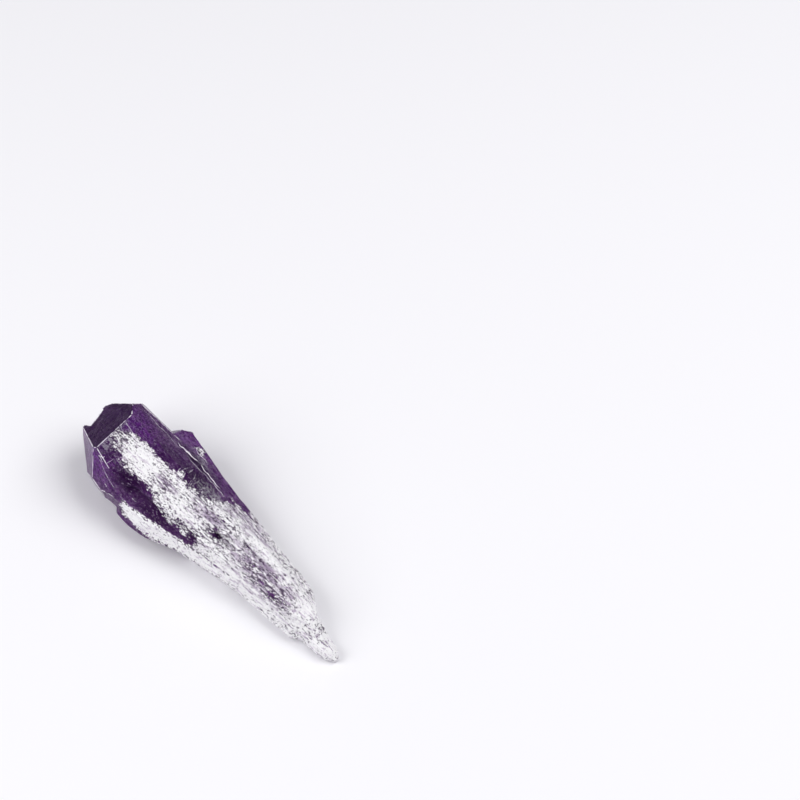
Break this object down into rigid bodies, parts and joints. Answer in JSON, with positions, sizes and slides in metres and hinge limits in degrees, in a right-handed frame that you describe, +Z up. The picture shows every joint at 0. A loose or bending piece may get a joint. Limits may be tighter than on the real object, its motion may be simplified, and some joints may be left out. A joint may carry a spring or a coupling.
{
  "type": "raw amethyst point",
  "caption": "Raw amethyst point lying on its side: a blunt faceted violet head, a small side crystal and a ribbed, white-crusted body that tapers to a rough root.",
  "frame": {"origin": "on the surface the point lies on, under the middle of its box", "axes": "+X along the crystal from its head to its root, +Z up"},
  "size_m": [0.108, 0.0344, 0.0245],
  "materials": {
    "amethyst": "clear violet crystal, glassy on the head, dull and striated on the body",
    "white_rind": "matt, chalky white crust"
  },
  "bodies": {
    "root": {"amethyst_point": "amethyst"}
  },
  "joints": []
}
